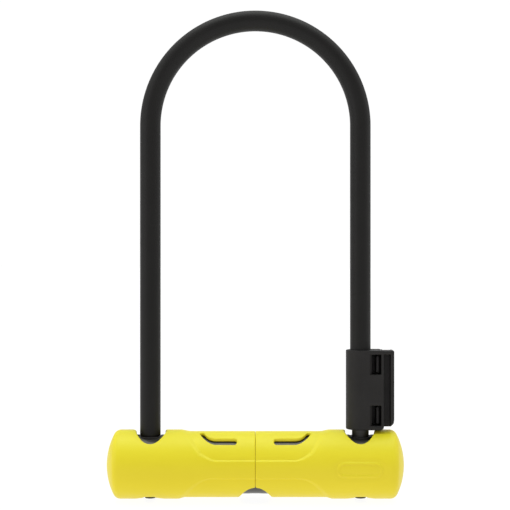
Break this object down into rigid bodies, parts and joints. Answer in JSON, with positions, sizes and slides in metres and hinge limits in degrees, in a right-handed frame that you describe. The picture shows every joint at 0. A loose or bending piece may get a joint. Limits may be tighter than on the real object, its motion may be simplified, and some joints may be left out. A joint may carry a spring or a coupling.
{
  "type": "u lock",
  "caption": "Bicycle U-lock: coated steel shackle that lifts out of a plastic-covered crossbar holding a key-driven core and two bolts, with a carrier adapter on one leg.",
  "frame": {"origin": "centre of the crossbar's underside, the lowest point of the lock", "axes": "+X along the crossbar towards the leg with the carrier adapter, +Z from the crossbar to the arch of the shackle, -Y towards the viewer of the front"},
  "size_m": [0.17, 0.0392, 0.2795],
  "materials": {
    "yellow_plastic": "satin moulded plastic",
    "black_plastic": "fine-grained moulded plastic",
    "black_vinyl": "matte dipped coating",
    "tube_steel": "plated, satin",
    "hardened_steel": "ground",
    "dark_steel": "black oxide",
    "die_cast": "die-cast zinc, bare",
    "brass": "turned"
  },
  "bodies": {
    "crossbar": {"cover_left": "yellow_plastic", "cover_right": "yellow_plastic", "cover_plug_left": "black_plastic", "cover_plug_right": "black_plastic", "entry_ring_left": "black_plastic", "entry_ring_right": "black_plastic", "crossbar_tube": "tube_steel", "cylinder_body": "tube_steel", "end_plug_left": "hardened_steel", "end_plug_right": "hardened_steel", "core_pin_left": "dark_steel", "core_pin_right": "dark_steel", "socket_pin_left": "dark_steel", "socket_pin_right": "dark_steel", "core_screw_left": "dark_steel", "core_screw_right": "dark_steel", "core_base": "die_cast", "core_lid": "die_cast", "foot_socket_left": "die_cast", "foot_socket_right": "die_cast"},
    "shackle": {"shackle_rod": "dark_steel", "shackle_coating": "black_vinyl", "adapter_body": "black_plastic", "adapter_clamp": "black_plastic", "clamp_screw_lower": "dark_steel", "clamp_screw_upper": "dark_steel"},
    "rotor": {"disc_barrel": "brass", "sidebar": "hardened_steel", "drive_cam": "hardened_steel", "lock_disc_1": "brass", "lock_disc_2": "brass", "lock_disc_3": "brass", "lock_disc_4": "brass", "lock_disc_5": "brass", "lock_disc_6": "brass", "disc_spacer_1": "hardened_steel", "disc_spacer_2": "hardened_steel", "disc_spacer_3": "hardened_steel", "disc_spacer_4": "hardened_steel", "disc_spacer_5": "hardened_steel"},
    "bolt_left": {"bolt_left": "hardened_steel"},
    "bolt_right": {"bolt_right": "hardened_steel"},
    "shutter": {"keyway_shutter": "hardened_steel"}
  },
  "joints": [
    {"name": "shackle_lift", "type": "slide", "parent": "crossbar", "child": "shackle", "axis": [0, 0, 1], "range_m": [0, 0.06]},
    {"name": "rotor_turn", "type": "hinge", "parent": "crossbar", "child": "rotor", "pos_m": [0, 0, 0.01], "axis": [0, 0, 1], "range_deg": [0, 90]},
    {"name": "bolt_left_slide", "type": "slide", "parent": "crossbar", "child": "bolt_left", "axis": [-1, 0, 0], "range_m": [0, 0.004]},
    {"name": "bolt_right_slide", "type": "slide", "parent": "crossbar", "child": "bolt_right", "axis": [1, 0, 0], "range_m": [0, 0.004]},
    {"name": "shutter_turn", "type": "hinge", "parent": "crossbar", "child": "shutter", "pos_m": [0, 0, 0.00395], "axis": [0, 0, 1], "range_deg": [0, 90]}
  ],
  "couplings": [
    {"joint": "rotor_turn", "follows": "bolt_left_slide", "rad_per_m": 392.7},
    {"joint": "bolt_right_slide", "follows": "bolt_left_slide", "ratio": 1}
  ]
}
